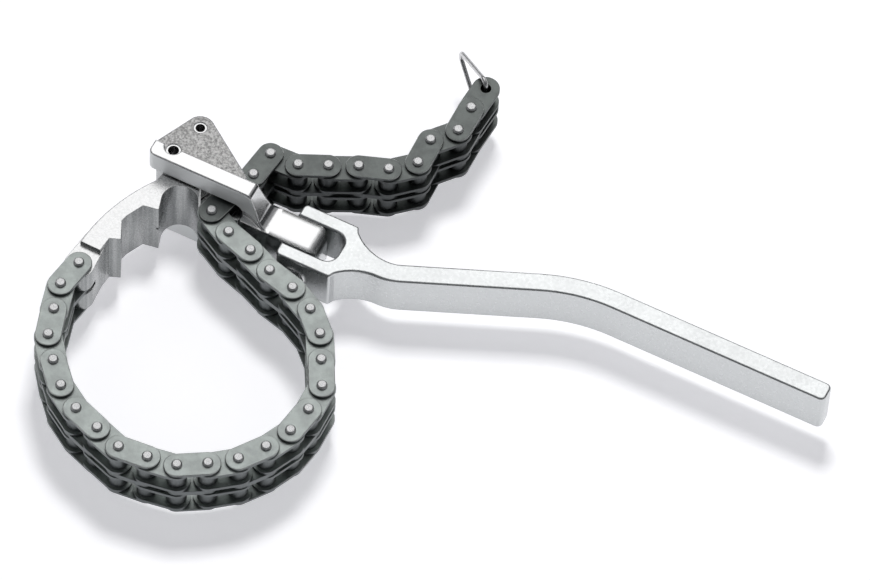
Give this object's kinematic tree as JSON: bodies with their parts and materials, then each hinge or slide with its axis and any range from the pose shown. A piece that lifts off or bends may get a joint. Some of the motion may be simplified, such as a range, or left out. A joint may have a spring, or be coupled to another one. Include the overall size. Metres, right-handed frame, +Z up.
{
  "type": "double chain oil filter wrench",
  "caption": "Wrench with a duplex roller chain that wraps a round filter, a toothed pivoting jaw, a forged clevis head with hook teeth and a swivelling offset handle.",
  "frame": {"origin": "bottom centre of the whole wrench as it lies at rest, under the head's lower arm", "axes": "+X along the head towards the end of the handle, +Z up along the chain's pins"},
  "size_m": [0.3096, 0.2552, 0.052],
  "materials": {
    "head": "plated forging",
    "jaw": "plated forging",
    "handle": "satin plated forging",
    "pins": "plain steel",
    "chain_outer": "dark oiled steel",
    "chain_inner": "dark oiled steel",
    "wire": "drawn wire"
  },
  "bodies": {
    "head": {"head": "head", "jaw_pivot_pin": "pins", "stop_pin": "pins", "outer_link_13": "chain_outer"},
    "handle": {"handle": "handle", "swivel_pin": "pins"},
    "jaw": {"jaw": "jaw"},
    "inner_link_12": {"inner_link_12": "chain_inner"},
    "outer_link_12": {"outer_link_12": "chain_outer"},
    "inner_link_11": {"inner_link_11": "chain_inner"},
    "outer_link_11": {"outer_link_11": "chain_outer"},
    "inner_link_10": {"inner_link_10": "chain_inner"},
    "outer_link_10": {"outer_link_10": "chain_outer"},
    "inner_link_09": {"inner_link_09": "chain_inner"},
    "outer_link_09": {"outer_link_09": "chain_outer"},
    "inner_link_08": {"inner_link_08": "chain_inner"},
    "outer_link_08": {"outer_link_08": "chain_outer"},
    "inner_link_07": {"inner_link_07": "chain_inner"},
    "outer_link_07": {"outer_link_07": "chain_outer"},
    "outer_link_01": {"outer_link_01": "chain_outer"},
    "inner_link_01": {"inner_link_01": "chain_inner"},
    "outer_link_02": {"outer_link_02": "chain_outer"},
    "inner_link_02": {"inner_link_02": "chain_inner"},
    "outer_link_03": {"outer_link_03": "chain_outer"},
    "inner_link_03": {"inner_link_03": "chain_inner"},
    "outer_link_04": {"outer_link_04": "chain_outer"},
    "inner_link_04": {"inner_link_04": "chain_inner"},
    "outer_link_05": {"outer_link_05": "chain_outer"},
    "inner_link_05": {"inner_link_05": "chain_inner"},
    "outer_link_06": {"outer_link_06": "chain_outer"},
    "inner_link_06": {"inner_link_06": "chain_inner"},
    "inner_link_13": {"inner_link_13": "chain_inner"},
    "outer_link_14": {"outer_link_14": "chain_outer"},
    "inner_link_14": {"inner_link_14": "chain_inner"},
    "outer_link_15": {"outer_link_15": "chain_outer"},
    "inner_link_15": {"inner_link_15": "chain_inner"},
    "outer_link_16": {"outer_link_16": "chain_outer"},
    "inner_link_16": {"inner_link_16": "chain_inner"},
    "outer_link_17": {"outer_link_17": "chain_outer"},
    "inner_link_17": {"inner_link_17": "chain_inner"},
    "outer_link_18": {"outer_link_18": "chain_outer"},
    "inner_link_18": {"inner_link_18": "chain_inner"},
    "wire_ring": {"wire_ring": "wire"}
  },
  "joints": [
    {"name": "handle_swivel", "type": "hinge", "parent": "head", "child": "handle", "pos_m": [-0.06977, 0.00793, 0.026], "axis": [0, 1, 0], "range_deg": [-90, 90]},
    {"name": "jaw_pivot", "type": "hinge", "parent": "head", "child": "jaw", "pos_m": [-0.13577, 0.01233, 0.026], "axis": [0, 0, 1], "range_deg": [-8, 10]},
    {"name": "inner_link_12_pin", "type": "hinge", "parent": "head", "child": "inner_link_12", "pos_m": [-0.11047, -0.00157, 0.026], "axis": [0, 0, 1], "range_deg": [-1.42, 1.74]},
    {"name": "outer_link_12_pin", "type": "hinge", "parent": "inner_link_12", "child": "outer_link_12", "pos_m": [-0.0993, -0.00762, 0.026], "axis": [0, 0, 1], "range_deg": [-1, 1.22]},
    {"name": "inner_link_11_pin", "type": "hinge", "parent": "outer_link_12", "child": "inner_link_11", "pos_m": [-0.08718, -0.01143, 0.026], "axis": [0, 0, 1], "range_deg": [-0.8, 0.98]},
    {"name": "outer_link_11_pin", "type": "hinge", "parent": "inner_link_11", "child": "outer_link_11", "pos_m": [-0.07553, -0.01648, 0.026], "axis": [0, 0, 1], "range_deg": [-0.7, 0.85]},
    {"name": "inner_link_10_pin", "type": "hinge", "parent": "outer_link_11", "child": "inner_link_10", "pos_m": [-0.06324, -0.01965, 0.026], "axis": [0, 0, 1], "range_deg": [-0.75, 0.91]},
    {"name": "outer_link_10_pin", "type": "hinge", "parent": "inner_link_10", "child": "outer_link_10", "pos_m": [-0.05197, -0.0255, 0.026], "axis": [0, 0, 1], "range_deg": [-0.82, 1]},
    {"name": "inner_link_09_pin", "type": "hinge", "parent": "outer_link_10", "child": "inner_link_09", "pos_m": [-0.0429, -0.0344, 0.026], "axis": [0, 0, 1], "range_deg": [-0.89, 1.08]},
    {"name": "outer_link_09_pin", "type": "hinge", "parent": "inner_link_09", "child": "outer_link_09", "pos_m": [-0.03664, -0.04545, 0.026], "axis": [0, 0, 1], "range_deg": [-0.92, 1.12]},
    {"name": "inner_link_08_pin", "type": "hinge", "parent": "outer_link_09", "child": "inner_link_08", "pos_m": [-0.03057, -0.0566, 0.026], "axis": [0, 0, 1], "range_deg": [-1.03, 1.26]},
    {"name": "outer_link_08_pin", "type": "hinge", "parent": "inner_link_08", "child": "outer_link_08", "pos_m": [-0.03022, -0.0693, 0.026], "axis": [0, 0, 1], "range_deg": [-0.94, 1.15]},
    {"name": "inner_link_07_pin", "type": "hinge", "parent": "outer_link_08", "child": "inner_link_07", "pos_m": [-0.03209, -0.08186, 0.026], "axis": [0, 0, 1], "range_deg": [-0.79, 0.96]},
    {"name": "outer_link_07_pin", "type": "hinge", "parent": "inner_link_07", "child": "outer_link_07", "pos_m": [-0.03735, -0.09342, 0.026], "axis": [0, 0, 1], "range_deg": [-0.47, 0.57]},
    {"name": "outer_link_01_pin", "type": "hinge", "parent": "jaw", "child": "outer_link_01", "pos_m": [-0.14707, -0.05027, 0.026], "axis": [0, 0, 1], "range_deg": [-2.53, 2.06]},
    {"name": "inner_link_01_pin", "type": "hinge", "parent": "outer_link_01", "child": "inner_link_01", "pos_m": [-0.14893, -0.06283, 0.026], "axis": [0, 0, 1], "range_deg": [-2.22, 1.81]},
    {"name": "outer_link_02_pin", "type": "hinge", "parent": "inner_link_01", "child": "outer_link_02", "pos_m": [-0.14553, -0.07507, 0.026], "axis": [0, 0, 1], "range_deg": [-1.99, 1.62]},
    {"name": "inner_link_02_pin", "type": "hinge", "parent": "outer_link_02", "child": "inner_link_02", "pos_m": [-0.1417, -0.08717, 0.026], "axis": [0, 0, 1], "range_deg": [-1.59, 1.3]},
    {"name": "outer_link_03_pin", "type": "hinge", "parent": "inner_link_02", "child": "outer_link_03", "pos_m": [-0.13396, -0.09724, 0.026], "axis": [0, 0, 1], "range_deg": [-1.07, 0.88]},
    {"name": "inner_link_03_pin", "type": "hinge", "parent": "outer_link_03", "child": "inner_link_03", "pos_m": [-0.12537, -0.1066, 0.026], "axis": [0, 0, 1], "range_deg": [-0.415, 0.345]},
    {"name": "outer_link_04_pin", "type": "hinge", "parent": "inner_link_03", "child": "outer_link_04", "pos_m": [-0.11465, -0.11341, 0.026], "axis": [0, 0, 1], "range_deg": [-0.297, 0.355]},
    {"name": "inner_link_04_pin", "type": "hinge", "parent": "outer_link_04", "child": "inner_link_04", "pos_m": [-0.10268, -0.11764, 0.026], "axis": [0, 0, 1], "range_deg": [-0.73, 0.89]},
    {"name": "outer_link_05_pin", "type": "hinge", "parent": "inner_link_04", "child": "outer_link_05", "pos_m": [-0.09063, -0.12166, 0.026], "axis": [0, 0, 1], "range_deg": [-1.03, 1.26]},
    {"name": "inner_link_05_pin", "type": "hinge", "parent": "outer_link_05", "child": "inner_link_05", "pos_m": [-0.07799, -0.12043, 0.026], "axis": [0, 0, 1], "range_deg": [-1, 1.22]},
    {"name": "outer_link_06_pin", "type": "hinge", "parent": "inner_link_05", "child": "outer_link_06", "pos_m": [-0.06547, -0.11832, 0.026], "axis": [0, 0, 1], "range_deg": [-0.81, 0.99]},
    {"name": "inner_link_06_pin", "type": "hinge", "parent": "outer_link_06", "child": "inner_link_06", "pos_m": [-0.05464, -0.11168, 0.026], "axis": [0, 0, 1], "range_deg": [-0.45, 0.55]},
    {"name": "inner_link_13_pin", "type": "hinge", "parent": "head", "child": "inner_link_13", "pos_m": [-0.10761, 0.01081, 0.026], "axis": [0, 0, 1], "range_deg": [-1, 13]},
    {"name": "outer_link_14_pin", "type": "hinge", "parent": "inner_link_13", "child": "outer_link_14", "pos_m": [-0.10347, 0.02281, 0.026], "axis": [0, 0, 1], "range_deg": [-2, 13]},
    {"name": "inner_link_14_pin", "type": "hinge", "parent": "outer_link_14", "child": "inner_link_14", "pos_m": [-0.10193, 0.03542, 0.026], "axis": [0, 0, 1], "range_deg": [-1, 39]},
    {"name": "outer_link_15_pin", "type": "hinge", "parent": "inner_link_14", "child": "outer_link_15", "pos_m": [-0.08923, 0.03586, 0.026], "axis": [0, 0, 1], "range_deg": [-3, 13]},
    {"name": "inner_link_15_pin", "type": "hinge", "parent": "outer_link_15", "child": "inner_link_15", "pos_m": [-0.07782, 0.04143, 0.026], "axis": [0, 0, 1], "range_deg": [-5, 16]},
    {"name": "outer_link_16_pin", "type": "hinge", "parent": "inner_link_15", "child": "outer_link_16", "pos_m": [-0.0665, 0.0472, 0.026], "axis": [0, 0, 1], "range_deg": [-6, 20]},
    {"name": "inner_link_16_pin", "type": "hinge", "parent": "outer_link_16", "child": "inner_link_16", "pos_m": [-0.05465, 0.05175, 0.026], "axis": [0, 0, 1], "range_deg": [-8, 13]},
    {"name": "outer_link_17_pin", "type": "hinge", "parent": "inner_link_16", "child": "outer_link_17", "pos_m": [-0.04536, 0.06041, 0.026], "axis": [0, 0, 1], "range_deg": [-12, 4]},
    {"name": "inner_link_17_pin", "type": "hinge", "parent": "outer_link_17", "child": "inner_link_17", "pos_m": [-0.0458, 0.0731, 0.026], "axis": [0, 0, 1], "range_deg": [-6, 26]},
    {"name": "outer_link_18_pin", "type": "hinge", "parent": "inner_link_17", "child": "outer_link_18", "pos_m": [-0.03781, 0.08297, 0.026], "axis": [0, 0, 1], "range_deg": [-14, 10]},
    {"name": "inner_link_18_pin", "type": "hinge", "parent": "outer_link_18", "child": "inner_link_18", "pos_m": [-0.03803, 0.09567, 0.026], "axis": [0, 0, 1], "range_deg": [-18, 23]},
    {"name": "wire_ring_swing", "type": "hinge", "parent": "inner_link_18", "child": "wire_ring", "pos_m": [-0.03737, 0.10835, 0.026], "axis": [0, 0, 1], "range_deg": [-146, 44]}
  ],
  "couplings": [
    {"joint": "inner_link_12_pin", "follows": "jaw_pivot", "ratio": 0.1607},
    {"joint": "outer_link_12_pin", "follows": "jaw_pivot", "ratio": 0.1108},
    {"joint": "inner_link_11_pin", "follows": "jaw_pivot", "ratio": 0.088},
    {"joint": "outer_link_11_pin", "follows": "jaw_pivot", "ratio": 0.0756},
    {"joint": "inner_link_10_pin", "follows": "jaw_pivot", "ratio": 0.0818},
    {"joint": "outer_link_10_pin", "follows": "jaw_pivot", "ratio": 0.0905},
    {"joint": "inner_link_09_pin", "follows": "jaw_pivot", "ratio": 0.0979},
    {"joint": "outer_link_09_pin", "follows": "jaw_pivot", "ratio": 0.1017},
    {"joint": "inner_link_08_pin", "follows": "jaw_pivot", "ratio": 0.1146},
    {"joint": "outer_link_08_pin", "follows": "jaw_pivot", "ratio": 0.1042},
    {"joint": "inner_link_07_pin", "follows": "jaw_pivot", "ratio": 0.0862},
    {"joint": "outer_link_07_pin", "follows": "jaw_pivot", "ratio": 0.0497},
    {"joint": "outer_link_01_pin", "follows": "jaw_pivot", "ratio": -0.2355},
    {"joint": "inner_link_01_pin", "follows": "jaw_pivot", "ratio": -0.2061},
    {"joint": "outer_link_02_pin", "follows": "jaw_pivot", "ratio": -0.1837},
    {"joint": "inner_link_02_pin", "follows": "jaw_pivot", "ratio": -0.1459},
    {"joint": "outer_link_03_pin", "follows": "jaw_pivot", "ratio": -0.0969},
    {"joint": "inner_link_03_pin", "follows": "jaw_pivot", "ratio": -0.0346},
    {"joint": "outer_link_04_pin", "follows": "jaw_pivot", "ratio": 0.0289},
    {"joint": "inner_link_04_pin", "follows": "jaw_pivot", "ratio": 0.0795},
    {"joint": "outer_link_05_pin", "follows": "jaw_pivot", "ratio": 0.1147},
    {"joint": "inner_link_05_pin", "follows": "jaw_pivot", "ratio": 0.1114},
    {"joint": "outer_link_06_pin", "follows": "jaw_pivot", "ratio": 0.0892},
    {"joint": "inner_link_06_pin", "follows": "jaw_pivot", "ratio": 0.047}
  ]
}
